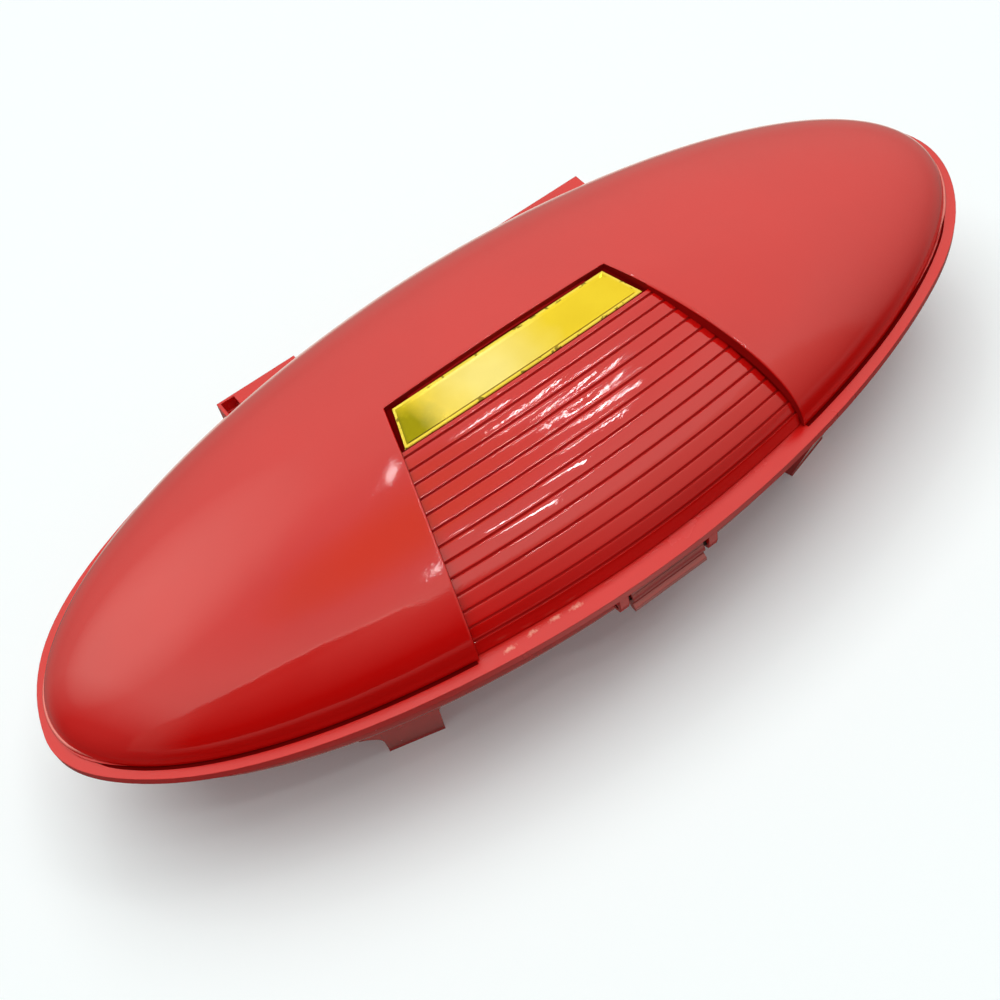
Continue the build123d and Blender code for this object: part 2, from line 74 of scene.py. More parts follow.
def gauge(x, y):
    # how large a copy of the lid's foot line passes through each plan point
    across, deep = np.abs(x) / lid_half_length, np.abs(y) / lid_half_width
    smallest, largest = np.zeros(np.broadcast(x, y).shape), 3.0
    lo, hi = halve(lambda size: (across / size) ** lid_power_x + (deep / size) ** lid_power_y > 1.0,
                   smallest, smallest + largest, steps=46)
    return (lo + hi) / 2


def lid_share(x):
    # how wide the lid is at x, as a share of its width in the middle
    return (1.0 - np.minimum(np.abs(x) / lid_half_length, 1.0) ** lid_power_x) ** (1.0 / lid_power_y)


def dome_z(x, y):
    size = np.minimum(gauge(x, y), 1.0)
    return rim_top + lid_height * np.sqrt(np.maximum(1.0 - size * size, 0.0))


def grid_mesh(name, points, material, body, flip=False):
    # one sheet of faces through a grid of points given in mm
    points = np.asarray(points, float)
    count_u, count_v = points.shape[:2]
    faces = []
    for i in range(count_u - 1):
        for j in range(count_v - 1):
            here, beyond = i * count_v + j, (i + 1) * count_v + j
            quad = (here, beyond, beyond + 1, here + 1)
            faces.append(quad[::-1] if flip else quad)
    mesh = bpy.data.meshes.new(name)
    mesh.from_pydata(to_frame(points.reshape(-1, 3)).tolist(), [], faces)
    mesh.update()
    obj = bpy.data.objects.new(name, mesh)
    scene.collection.objects.link(obj)
    for face in mesh.polygons:
        face.use_smooth = True
    mesh.materials.append(material)
    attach(obj, body)
    return obj


# materials

def new_material(name):
    material = bpy.data.materials.new(name)
    material.use_nodes = True
    nodes = material.node_tree.nodes
    links = material.node_tree.links
    nodes.clear()
    out = nodes.new("ShaderNodeOutputMaterial")
    shader = nodes.new("ShaderNodeBsdfPrincipled")
    links.new(shader.outputs["BSDF"], out.inputs["Surface"])
    return material, nodes, links, shader


def fill(links, socket, value):
    # a socket takes a number, a colour or another node's output
    if isinstance(value, float):
        socket.default_value = value
    elif isinstance(value, tuple):
        socket.default_value = (*value, 1.0)
    else:
        links.new(value, socket)


def noise(nodes, links, coords, scale, detail=4.0, longer=None, turn=0.0):
    # longer = how many times the marks are drawn out along each axis, turn = their angle in plan
    texture = nodes.new("ShaderNodeTexNoise")
    texture.inputs["Scale"].default_value = scale
    texture.inputs["Detail"].default_value = detail
    if longer:
        mapping = nodes.new("ShaderNodeMapping")
        mapping.vector_type = "TEXTURE"
        mapping.inputs["Scale"].default_value = longer
        mapping.inputs["Rotation"].default_value = (0.0, 0.0, math.radians(turn))
        links.new(coords, mapping.inputs["Vector"])
        coords = mapping.outputs["Vector"]
    links.new(coords, texture.inputs["Vector"])
    return texture.outputs["Fac"]


def join(nodes, links, operation, first, second):
    node = nodes.new("ShaderNodeMath")
    node.operation = operation
    fill(links, node.inputs[0], first)
    fill(links, node.inputs[1], second)
    return node.outputs[0]


def ramp(nodes, links, source, start, end, low_value, high_value):
    node = nodes.new("ShaderNodeMapRange")
    node.inputs["From Min"].default_value = start
    node.inputs["From Max"].default_value = end
    node.inputs["To Min"].default_value = low_value
    node.inputs["To Max"].default_value = high_value
    links.new(source, node.inputs["Value"])
    return node.outputs["Result"]


def mix_colour(nodes, links, factor, first, second):
    node = nodes.new("ShaderNodeMix")
    node.data_type = "RGBA"
    links.new(factor, node.inputs[0])
    fill(links, node.inputs[6], first)
    fill(links, node.inputs[7], second)
    return node.outputs[2]


def mix_value(nodes, links, factor, first, second):
    node = nodes.new("ShaderNodeMix")
    node.data_type = "FLOAT"
    links.new(factor, node.inputs[0])
    fill(links, node.inputs[2], first)
    fill(links, node.inputs[3], second)
    return node.outputs[0]


def vector_step(nodes, links, operation, first, second=None):
    # the caller takes the output "Vector" or "Value"
    node = nodes.new("ShaderNodeVectorMath")
    node.operation = operation
    links.new(first, node.inputs[0])
    if second is not None:
        node.inputs[1].default_value = second
    return node.outputs


def split_axes(nodes, links, source):
    node = nodes.new("ShaderNodeSeparateXYZ")
    links.new(source, node.inputs["Vector"])
    return node.outputs["X"], node.outputs["Y"], node.outputs["Z"]


def uneven(nodes, links, coords, reach, scale, by):
    # moves the outline of a round mark in and out by up to so many metres
    wander = ramp(nodes, links, noise(nodes, links, coords, scale), 0.3, 0.7, -by, by)
    return join(nodes, links, "ADD", reach, wander)


def dark_spots(nodes, links, coords, mixed, scale, size, patch_scale, patch, strength, colour):
    # small dark spots that come only in some patches of the surface
    core, patch_edge = 0.035, 0.04
    spots = nodes.new("ShaderNodeTexVoronoi")
    spots.inputs["Scale"].default_value = scale
    links.new(coords, spots.inputs["Vector"])
    near = ramp(nodes, links, spots.outputs["Distance"], core, size, strength, 0.0)
    rare = ramp(nodes, links, noise(nodes, links, coords, patch_scale, 1.0), patch, patch + patch_edge,
                0.0, 1.0)
    return mix_colour(nodes, links, join(nodes, links, "MULTIPLY", near, rare), mixed, colour)


def rounded_normal(nodes, radius):
    # the surface's direction with its sharp edges rounded, radius in mm
    bevel = nodes.new("ShaderNodeBevel")
    bevel.samples = 6
    bevel.inputs["Radius"].default_value = radius * MM
    return bevel.outputs["Normal"]


# how the plastic's marks are made: scales in marks per metre, places and reaches in metres
plastic_broad, plastic_rough, plastic_wave, plastic_grain = 22.0, 60.0, 55.0, 900.0
speck = dict(scale=90.0, size=0.055, patch_scale=31.0, patch=0.62, strength=0.55,
             colour=(0.12, 0.008, 0.008))
# the bead's painted highlight: its colour, where round the back it starts and ends, and how much sooner it
# starts on the left
bead_highlight_colour, bead_highlight_start, bead_highlight_end, bead_highlight_left_sooner = (0.80, 0.200, 0.160), -0.036, -0.022, 0.018
# the next two lines set the painted glints on the ledge: their colour, strength, size and ragged outline
glint_colour, glint_strength, glint_core, glint_reach = (0.88, 0.46, 0.33), 0.55, 0.0001, 0.0007
glint_drawn_out, glint_scale, glint_wander = (0.36, 1.0, 1.0), 1400.0, 0.0003
calm_from, calm_to, calm_share = -0.058, -0.050, 0.2


def plastic(name, colour, deep, roughness, waves=0.0, grain=0.0, ripple=None, specks=True, edge=0.0,
            shine=0.5, painted_bead_highlight=False, calm_end=False, painted_glints=()):
    # waves and grain are depths in mm, edge is a radius in mm; ripple = (depth in mm, scale, longer,
    # turn), and calm_end weakens it on the far left end; the last argument gives the middles of small pale
    # marks, painted glints of the ceiling lamps
    material, nodes, links, shader = new_material(name)
    coords = nodes.new("ShaderNodeTexCoord").outputs["Object"]
    broad = ramp(nodes, links, noise(nodes, links, coords, plastic_broad), 0.35, 0.65, 0.0, 1.0)
    mixed = mix_colour(nodes, links, broad, colour, deep)
    if specks:
        mixed = dark_spots(nodes, links, coords, mixed, **speck)
    if painted_bead_highlight:
        # painted highlight: the bead is made paler round the back and the ends, where it catches the light
        along, deep_in, up = split_axes(nodes, links, coords)
        sooner = ramp(nodes, links, along, -0.01, 0.01, bead_highlight_left_sooner, 0.0)
        behind = join(nodes, links, "SUBTRACT", deep_in, sooner)
        pale = ramp(nodes, links, behind, bead_highlight_start, bead_highlight_end, 0.0, 1.0)
        mixed = mix_colour(nodes, links, pale, mixed, bead_highlight_colour)
    # painted highlights: small pale glints of the ceiling lamps, drawn out along the ledge
    for middle in painted_glints:
        from_middle = vector_step(nodes, links, "SUBTRACT", coords, middle)["Vector"]
        drawn_in = vector_step(nodes, links, "MULTIPLY", from_middle, glint_drawn_out)["Vector"]
        reach = vector_step(nodes, links, "LENGTH", drawn_in)["Value"]
        reach = uneven(nodes, links, coords, reach, glint_scale, glint_wander)
        mark = ramp(nodes, links, reach, glint_core, glint_reach, glint_strength, 0.0)
        mixed = mix_colour(nodes, links, mark, mixed, glint_colour)
    links.new(mixed, shader.inputs["Base Color"])
    shader.inputs["Specular IOR Level"].default_value = shine
    rough = ramp(nodes, links, noise(nodes, links, coords, plastic_rough), 0.3, 0.7,
                 roughness * 0.85, roughness * 1.2)
    links.new(rough, shader.inputs["Roughness"])
    shader.inputs["IOR"].default_value = 1.5
    normal = rounded_normal(nodes, edge) if edge > 0 else None
    still = (0.0, 1.0, None, 0.0)
    for depth, scale, longer, turn in ((waves, plastic_wave, None, 0.0), ripple or still,
                                       (grain, plastic_grain, None, 0.0)):
        if depth <= 0:
            continue
        bump = nodes.new("ShaderNodeBump")
        bump.inputs["Strength"].default_value = 1.0
        bump.inputs["Distance"].default_value = depth * MM
        links.new(noise(nodes, links, coords, scale, 2.0, longer, turn), bump.inputs["Height"])
        if calm_end and longer:
            along = split_axes(nodes, links, coords)[0]
            calm = ramp(nodes, links, along, calm_from, calm_to, calm_share, 1.0)
            links.new(calm, bump.inputs["Strength"])
        if normal is not None:
            links.new(normal, bump.inputs["Normal"])
        normal = bump.outputs["Normal"]
    if normal is not None:
        links.new(normal, shader.inputs["Normal"])
    return material


# how the metal's marks are made, in the same units
metal_broad, metal_rough, metal_grain = 70.0, 160.0, 700.0
tarnish_middle, tarnish_core, tarnish_reach = (-0.0320, -0.0030, 0.0690), 0.0045, 0.0105
tarnish_colour, tarnish_strength = (0.15, 0.145, 0.002), 0.85
# the next two lines paint a highlight: a paler patch in the middle of the plate's field, standing in for
# the lamp's sheen
sheen_middle, sheen_core, sheen_reach = (-0.0080, -0.0015, 0.0697), 0.003, 0.021
sheen_colour, sheen_strength = (0.57, 0.51, 0.190), 0.75
field_scale, field_wander = 180.0, 0.0012
pit = dict(scale=160.0, size=0.06, patch_scale=60.0, patch=0.58, strength=0.75, colour=(0.05, 0.03, 0.005))
chip_scale, chip_strength, chip_colour = 520.0, 0.8, (0.10, 0.065, 0.008)


def metal(name, colour, deep, roughness, brushed=None, grain=0.02, edge=0.15, tarnish_and_sheen=False, worn=False):
    material, nodes, links, shader = new_material(name)
    coords = nodes.new("ShaderNodeTexCoord").outputs["Object"]
    broad = ramp(nodes, links, noise(nodes, links, coords, metal_broad), 0.35, 0.65, 0.0, 1.0)
    mixed = mix_colour(nodes, links, broad, colour, deep)
    if tarnish_and_sheen:
        # the left end has gone dull and olive; the paler middle of the field is a painted highlight, the
        # lamp's sheen
        for middle, core, reach, strength, mark in (
                (tarnish_middle, tarnish_core, tarnish_reach, tarnish_strength, tarnish_colour),
                (sheen_middle, sheen_core, sheen_reach, sheen_strength, sheen_colour)):
            away = vector_step(nodes, links, "DISTANCE", coords, middle)["Value"]
            away = uneven(nodes, links, coords, away, field_scale, field_wander)
            share = ramp(nodes, links, away, core, reach, strength, 0.0)
            mixed = mix_colour(nodes, links, share, mixed, mark)
        mixed = dark_spots(nodes, links, coords, mixed, **pit)
    if worn:
        # the raised border is chipped dark in places
        chips = ramp(nodes, links, noise(nodes, links, coords, chip_scale, 2.0), 0.60, 0.64,
                     0.0, chip_strength)
        mixed = mix_colour(nodes, links, chips, mixed, chip_colour)
    links.new(mixed, shader.inputs["Base Color"])
    shader.inputs["Metallic"].default_value = 1.0
    rough = ramp(nodes, links, noise(nodes, links, coords, metal_rough, 4.0, brushed), 0.3, 0.7,
                 roughness * 0.7, roughness * 1.4)
    links.new(rough, shader.inputs["Roughness"])
    bump = nodes.new("ShaderNodeBump")
    bump.inputs["Distance"].default_value = grain * MM
    links.new(noise(nodes, links, coords, metal_grain, 3.0, brushed), bump.inputs["Height"])
    if edge > 0:
        links.new(rounded_normal(nodes, edge), bump.inputs["Normal"])
    links.new(bump.outputs["Normal"], shader.inputs["Normal"])
    return material


red_lid = plastic("red_lid", (0.62, 0.004, 0.003), (0.58, 0.003, 0.002), 0.07, waves=0.12,
                  ripple=(0.018, 2400.0, (2.0, 1.0, 1.0), -35.0), grain=0.002, calm_end=True)
red_ribs = plastic("red_ribs", (0.61, 0.004, 0.003), (0.57, 0.003, 0.002), 0.028, waves=0.06,
                   ripple=(0.006, 1700.0, (4.0, 1.0, 1.0), 14.0), grain=0.001)
# where the painted glints of the ceiling lamps sit on the front of the ledge
ledge_glints = [(-0.0417, -0.0506, 0.044), (-0.0352, -0.0506, 0.044), (-0.0291, -0.0510, 0.044),
               (-0.0233, -0.0517, 0.044)]
red_base = plastic("red_base", (0.60, 0.008, 0.006), (0.55, 0.006, 0.005), 0.24, waves=0.02, grain=0.006,
                   edge=0.35, painted_glints=ledge_glints)
red_latch = plastic("red_latch", (0.42, 0.030, 0.025), (0.37, 0.024, 0.020), 0.28, waves=0.02, specks=False,
                    edge=0.3, shine=1.0)
# painted shade: the lid's plastic made darker and dull, for the shaded recess walls and the plate's seat
painted_shade_wall = plastic("painted_shade_wall", (0.34, 0.003, 0.003), (0.28, 0.002, 0.002), 0.6, specks=False, shine=0.1)
# painted shade: a near-black dull red for dark sheets that stand in for shadow, at the lid's foot and under
# the plate
painted_shade_line = plastic("painted_shade_line", (0.15, 0.002, 0.002), (0.11, 0.001, 0.001), 0.8, specks=False, shine=0.0)
# painted shade: the ribs' plastic made darker and dull, for the shade in the grooves
painted_shade_groove = plastic("painted_shade_groove", (0.36, 0.004, 0.003), (0.30, 0.003, 0.002), 0.5, specks=False, shine=0.1)
# the bead is the lid's plastic painted darker for the shade at the front, with a painted highlight round
# the back
painted_light_bead = plastic("painted_light_bead", (0.42, 0.008, 0.006), (0.36, 0.006, 0.005), 0.15, specks=False,
                   painted_bead_highlight=True)
gold = metal("gold", (0.50, 0.385, 0.022), (0.47, 0.355, 0.018), 0.20, grain=0.004, edge=0.0, tarnish_and_sheen=True)
gold_border = metal("gold_border", (0.54, 0.43, 0.055), (0.50, 0.39, 0.045), 0.22, grain=0.004, edge=0.0,
                    worn=True)
brush_marks = (1.0, 0.1, 1.0)
dull_steel = metal("dull_steel", (0.060, 0.040, 0.036), (0.045, 0.030, 0.028), 0.45, brushed=brush_marks)
steel = metal("steel", (0.62, 0.63, 0.65), (0.55, 0.56, 0.58), 0.28, brushed=brush_marks)
chrome = metal("chrome", (0.75, 0.76, 0.78), (0.66, 0.67, 0.70), 0.14)
tray_cream = plastic("tray_cream", (0.74, 0.68, 0.54), (0.66, 0.60, 0.47), 0.5, grain=0.01, edge=0.4)
tray_rack = plastic("tray_rack", (0.70, 0.63, 0.49), (0.62, 0.56, 0.44), 0.5, grain=0.01, edge=0.3)

node_material = {
    "base_shell": red_base, "latch_lever": red_latch, "hinge_pin": dull_steel, "latch_pin": dull_steel,
    "latch_spring": steel, "name_plate_push_nuts": steel, "tray_screws": steel,
    "inner_tray": tray_cream, "template_rack": tray_rack, "template_one": chrome,
    "template_two": chrome, "template_three": chrome, "template_four": chrome,
    "template_five": chrome, "feed_cover_plate": chrome, "cover_plate_screw": steel,
    "lid_shell": red_lid, "name_plate": gold,
}
for node_name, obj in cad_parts.items():
    obj.data.materials.clear()
    obj.data.materials.append(node_material[node_name])


# the lid's outer skin: rays from a point in the recess out to the foot

def recess_line(grow, count_side=170, count_back=90):
    # plan line of the recess from the front right corner round the back to the front left
    side_grow, search_end, search_steps, at_foot = 1.05, -60.0, 1200, 0.9999
    back = recess_back + grow
    half_back = recess_half_back + grow * side_grow
    ys = np.linspace(back, search_end, search_steps)
    xs = half_back + recess_slope * (back - ys)
    y_front = ys[int(np.argmax(gauge(xs, ys) >= at_foot))]
    side_y = back + (y_front - back) * np.linspace(0.0, 1.0, count_side)
    side_x = half_back + recess_slope * (back - side_y)
    back_x = np.linspace(half_back, -half_back, count_back)
    right = np.column_stack([side_x, side_y])[::-1]
    top = np.column_stack([back_x, np.full(count_back, back)])
    left = np.column_stack([-side_x, side_y])
    return np.vstack([right, top[1:-1], left])


ray_centre = np.array([0.0, -25.0])
farthest_ray = 9.0
edge_round, round_steps = 0.45, 7
levels = 90
rings = []
for k in range(round_steps + 1):
    angle = math.pi / 2 * k / round_steps
    line = recess_line(edge_round * (1.0 - math.cos(angle)))
    z = dome_z(line[:, 0], line[:, 1]) - edge_round * (1.0 - math.sin(angle))
    rings.append(np.column_stack([line, np.maximum(z, skin_end)]))
line_out = recess_line(edge_round)
direction = line_out - ray_centre


def ray_gauge(times):
    # the gauge at so many times the way from the centre to the recess line
    return gauge(ray_centre[0] + direction[:, 0] * times, ray_centre[1] + direction[:, 1] * times)


nearest = np.ones(len(line_out))
farthest = np.full(len(line_out), farthest_ray)
lo, hi = halve(lambda times: ray_gauge(times) < 1.0, nearest, farthest, steps=50)
reach = (lo + hi) / 2
first_angle = np.arccos(np.minimum(gauge(line_out[:, 0], line_out[:, 1]), 1.0))
last_angle = math.asin(lid_foot / lid_height)
for k in range(1, levels + 1):
    share = k / levels
    angle = first_angle * (1 - share) + np.minimum(last_angle, first_angle) * share
    want = np.cos(angle)
    lo, hi = halve(lambda times: ray_gauge(times) < want, nearest, reach.copy(), steps=40)
    x = ray_centre[0] + direction[:, 0] * lo
    y = ray_centre[1] + direction[:, 1] * lo
    rings.append(np.column_stack([x, y, rim_top + lid_height * np.sin(angle)]))
skin = np.stack(rings, axis=1)
lid_skin = grid_mesh("lid_skin", skin, red_lid, "lid", flip=True)


# the bead round the lid's foot, coloured with painted highlight and shade, and a dark strip on the ledge
# outside it, a painted shadow

tuck = 0.6
bead_radius, bead_inset, bead_start, bead_steps = 0.48, 0.05, -0.3, 10
# a dark strip lying on the ledge just outside the lid's foot: painted shadow
shadow_line_section = [(-1.0, 0.03), (0.85, 0.03)]


def foot_strip(name, section, material, body, width):
    # sweeps (out, up) offsets along the foot line that the skin ends on; width gives the share of
    # the strip that shows at each place, and where it is nothing the strip is tucked under the skin
    foot = skin[:, -1, :2]
    tangent = np.gradient(foot, axis=0)
    tangent /= np.linalg.norm(tangent, axis=1)[:, None] + 1e-12
    outward = np.column_stack([tangent[:, 1], -tangent[:, 0]])
    outward *= np.sign((outward * foot).sum(1))[:, None]
    rows = []
    share = width(foot[:, 0], foot[:, 1])[:, None]
    for out, up in section:
        rows.append(np.column_stack([foot + outward * (out * share - tuck * (1.0 - share)),
                                     np.full(len(foot), rim_top + up)]))
    return grid_mesh(name, np.stack(rows, axis=1), material, body, flip=True)


def bead_width(x, y):
    # the bead runs round the ends, farther to the front on the right, and stops short of the back
    front_left, front_right, front_fade, back, back_fade = 20.0, 36.0, 14.0, 43.0, 8.0
    from_front = (y + np.where(x < 0, front_left, front_right)) / front_fade
    return np.clip(from_front, 0.0, 1.0) * np.clip((back - y) / back_fade, 0.0, 1.0)


def shadow_line_width(x, y):
    # the painted shadow shows along the front only
    end_left, end_right, fade = -4.0, -14.0, 12.0
    return np.clip((np.where(x < 0, end_left, end_right) - y) / fade, 0.0, 1.0)


bead_section = [(bead_radius * math.sin(a) - bead_inset, lid_foot + bead_radius + bead_radius * math.cos(a))
                for a in np.linspace(bead_start, math.pi, bead_steps)]
foot_bead = foot_strip("foot_bead", bead_section, painted_light_bead, "lid", bead_width)
painted_shadow_line = foot_strip("painted_shadow_line", shadow_line_section, painted_shade_line, "base", shadow_line_width)


# the upright walls of the recess, from the rounded edge down past the ribs, in a darker colour that is
# painted shade
wall_behind, wall_height, wall_steps = -0.04, 3.2, 5
wall_top = np.column_stack([recess_line(wall_behind), rings[0][:, 2]])
wall_rows = []
for k in range(wall_steps):
    row = wall_top.copy()
    row[:, 2] = np.maximum(row[:, 2] - wall_height * k / (wall_steps - 1), skin_end)
    wall_rows.append(row)
recess_wall = grid_mesh("recess_wall", np.stack(wall_rows, axis=1), painted_shade_wall, "lid")


# the ribbed panel: rounded ribs between narrow grooves, following the dome

panel_start = [(seat_front + 0.2, 23.4), (seat_front, 24.5), (seat_front - 0.25, 24.9)]
panel_end = (-51.6, 0.3)
groove_half, groove_floor_half, groove_depth, groove_lean = 0.32, 0.12, 0.5, 0.10
rib_crown, rib_shoulder, rib_stations = 0.015, 0.05, 19
columns, edge_steps, panel_overlap = 240, 12, 0.02
end_lift, end_lift_x, end_lift_front, end_lift_fade = 1.25, 38.0, 42.0, 34.0


def end_rise(x, y):
    # the panel is a little flatter along its length than the dome, most of all near the plate
    return end_lift * (x / end_lift_x) ** 2 * np.clip((y + end_lift_front) / end_lift_fade, 0.0, 1.0)


def rib(start, end):
    # a gently rounded strip, fuller at its edges
    start, end = np.array(start), np.array(end)
    along = end - start
    normal = np.array([along[1], -along[0]]) / np.linalg.norm(along)
    if normal[1] < 0:
        normal = -normal
    made = []
    for t in (1 - np.cos(np.linspace(0.0, np.pi, rib_stations)[1:])) / 2:
        across = abs(2 * t - 1)
        rise = rib_crown * (1.0 - across ** 2.0) + rib_shoulder * (1.0 - across ** 8.0)
        made.append(tuple(start + along * t + normal * rise))
    return made


def panel_profile():
    points = list(panel_start)
    rib_start = panel_start[-1]
    for gy, gz in zip(groove_y, groove_z):
        points += rib(rib_start, (gy + groove_half, gz + groove_lean))
        points += [(gy + groove_floor_half, gz - groove_depth), (gy - groove_floor_half, gz - groove_depth)]
        rib_start = (gy - groove_half, gz - groove_lean)
        points.append(rib_start)
    points += rib(rib_start, panel_end)
    return np.array(points)


profile = panel_profile()
sheet = np.zeros((columns, len(profile), 3))
for j, (py, pz) in enumerate(profile):
    edge_x = recess_half_back
    for step in range(edge_steps):
        edge_x = recess_half_back + recess_slope * (recess_back - py * lid_share(np.array(edge_x)))
    xs = np.linspace(-1.0, 1.0, columns) * (edge_x + panel_overlap)
    share = lid_share(xs)
    sheet[:, j, 0] = xs
    sheet[:, j, 1] = py * share
    sheet[:, j, 2] = np.maximum(rim_top + pz * share + end_rise(xs, py), skin_end)
rib_panel = grid_mesh("rib_panel", sheet, red_ribs, "lid", flip=True)
# the groove faces take that darker colour, painted shade
rib_panel.data.materials.append(painted_shade_groove)
groove_rows = set()
for gy in groove_y:
    for j in range(len(profile) - 1):
        if abs((profile[j][0] + profile[j + 1][0]) / 2 - gy) < groove_half:
            groove_rows.add(j)
for number, face in enumerate(rib_panel.data.polygons):
    if number % (len(profile) - 1) in groove_rows:
        face.material_index = 1


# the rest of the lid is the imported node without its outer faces

weld_distance, crease_angle = 0.002, 25.0
dome_margin, foot_margin, recess_margin = 0.988, 0.05, 0.05
panel_thick, panel_margin, seat_margin, seat_low = 1.6, 0.01, 0.4, 22.0
facing_down = -0.1


def part_of(source, faces, name, material):
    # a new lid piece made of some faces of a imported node
    used = sorted(set(v for face in faces for v in face))
    index = {v: i for i, v in enumerate(used)}
    places = [tuple(source.vertices[v].co) for v in used]
    mesh = bpy.data.meshes.new(name)
    mesh.from_pydata(places, [], [[index[v] for v in face] for face in faces])
    mesh.update()
    welded = bmesh.new()
    welded.from_mesh(mesh)
    bmesh.ops.remove_doubles(welded, verts=welded.verts, dist=weld_distance * MM)
    welded.to_mesh(mesh)
    welded.free()
    for face in mesh.polygons:
        face.use_smooth = True
    mesh.set_sharp_from_angle(angle=math.radians(crease_angle))
    obj = bpy.data.objects.new(name, mesh)
    scene.collection.objects.link(obj)
    mesh.materials.append(material)
    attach(obj, "lid")
    return obj


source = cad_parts["lid_shell"].data
co = np.array([v.co for v in source.vertices]) / MM - np.array([0.0, shift_y, 0.0])
kept, seat_kept = [], []
panel_y, panel_z = profile[::-1, 0], profile[::-1, 1]
for face in source.polygons:
    corners = list(face.vertices)
    x, y, z = co[corners].mean(0)
    size = float(gauge(np.array(x), np.array(y)))
    on_dome = False
    if z > skin_end + foot_margin:
        on_dome = math.sqrt(max(size * size + ((z - rim_top) / lid_height) ** 2, 1e-9)) > dome_margin
    share = float(lid_share(np.array(x)))
    recess_half = recess_half_back + recess_slope * (recess_back - y)
    in_recess = abs(x) < recess_half + recess_margin and y < recess_back + recess_margin
    on_panel = False
    if in_recess and z > skin_end + panel_margin:
        surface = rim_top + share * float(np.interp(y / share, panel_y, panel_z))
        on_panel = z > surface - panel_thick and y / share < seat_front + recess_margin
    if face.normal.z < facing_down:
        # the faces that look down into the case all stay
        kept.append(corners)
    elif not on_dome and not on_panel:
        in_seat = in_recess and y / share > seat_front - seat_margin and z > rim_top + seat_low * share
        (seat_kept if in_seat else kept).append(corners)
lid_inside = part_of(source, kept, "lid_inside", red_lid)
# the seat faces round the plate take the darker colour, painted shade
lid_seat = part_of(source, seat_kept, "lid_seat", painted_shade_wall)
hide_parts("lid_shell")


# the plate: raised border with a bevel round a lower field, and a dark sheet under it, a painted shadow in
# its seat

plate_low, plate_lean = 24.68, 0.151
plate_thick, plate_crease = 0.9, 20.0
border, border_bevel, border_rise = 0.80, 0.50, 0.28
border_steps = [0.0, 0.05, 0.22, border, border + border_bevel]
border_drops = [-plate_thick, -0.14, 0.0, 0.0, -border_rise]
field_start, field_rows, field_columns = 2.6, 7, 60
seat_overlap, seat_below, seat_columns = 0.02, 0.62, 60
seat_places = (seat_front + 0.1, -4.0, 0.0, recess_back + 0.3)


def plate_z(y, share):
    return rim_top + (plate_low + (y - plate_front) * plate_lean) * share


def plate_lines(length, count):
    # the grid lines across the plate, close together over the border
    return (border_steps + list(np.linspace(field_start, length - field_start, count))
            + [length - step for step in border_steps[::-1]])


def plate_mesh():
    # returns the grid of points and which of its faces belong to the raised border
    across, along = plate_back - plate_front, 2 * plate_half_back
    lines_u, lines_v = plate_lines(along, field_columns), plate_lines(across, field_rows)
    points = np.zeros((len(lines_u), len(lines_v), 3))
    for i, u in enumerate(lines_u):
        for j, v in enumerate(lines_v):
            y_drawn = plate_front + v
            half = plate_half_back + plate_slope * (plate_back - y_drawn)
            x = (2 * u / along - 1) * half
            share = float(lid_share(np.array(x)))
            drop = np.interp(min(u, along - u, v, across - v), border_steps, border_drops)
            points[i, j] = (x, y_drawn * share, plate_z(y_drawn, share) + end_rise(x, y_drawn) + drop)
    on_border = []
    for i in range(len(lines_u) - 1):
        for j in range(len(lines_v) - 1):
            u, v = (lines_u[i] + lines_u[i + 1]) / 2, (lines_v[j] + lines_v[j + 1]) / 2
            on_border.append(min(u, along - u, v, across - v) < border)
    return points, on_border


plate_points, on_border = plate_mesh()
plate_skin = grid_mesh("plate_skin", plate_points, gold, "lid")
plate_skin.data.materials.append(gold_border)
for face, raised in zip(plate_skin.data.polygons, on_border):
    face.material_index = 1 if raised else 0
plate_skin.data.set_sharp_from_angle(angle=math.radians(plate_crease))
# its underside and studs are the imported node's own
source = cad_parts["name_plate"].data
low_faces = []
for face in source.polygons:
    x, y, z = np.mean([source.vertices[v].co for v in face.vertices], axis=0) / MM
    y -= shift_y
    share = float(lid_share(np.array(x)))
    if z < plate_z(y / share, share) - plate_thick:
        low_faces.append(list(face.vertices))
plate_under = part_of(source, low_faces, "plate_under", gold)
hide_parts("name_plate")

# a near-black sheet just under the plate, painted shadow in the gap between the plate and the recess walls
seat_rows = []
for y_drawn in seat_places:
    half = recess_half_back + recess_slope * (recess_back - y_drawn) + seat_overlap
    xs = np.linspace(-half, half, seat_columns)
    share = lid_share(xs)
    seat_rows.append(np.column_stack([xs, y_drawn * share,
                                      plate_z(y_drawn, share) + end_rise(xs, y_drawn) - seat_below]))
seat_shade_sheet = grid_mesh("seat_shade_sheet", np.stack(seat_rows, axis=1), painted_shade_line, "lid")


# the curved webs that carry each foot's sloping face over into the bowl

foot_x, foot_y, foot_turn = 65.0, 33.6, 15.0
foot_half_width = 7.5
foot_low, foot_out, foot_top = 1.2, 11.6, 36.0
web_depth, web_lean, web_round_in, web_round_along = 9.0, 0.2, 0.5, 0.3
web_steps, web_crease = 20, 40.0
# where each web starts and ends up the foot, how far it spreads and how it bends
long_web, short_web = (12.0, 27.0, 5.0, 2.2), (23.0, 33.0, 2.6, 2.0)


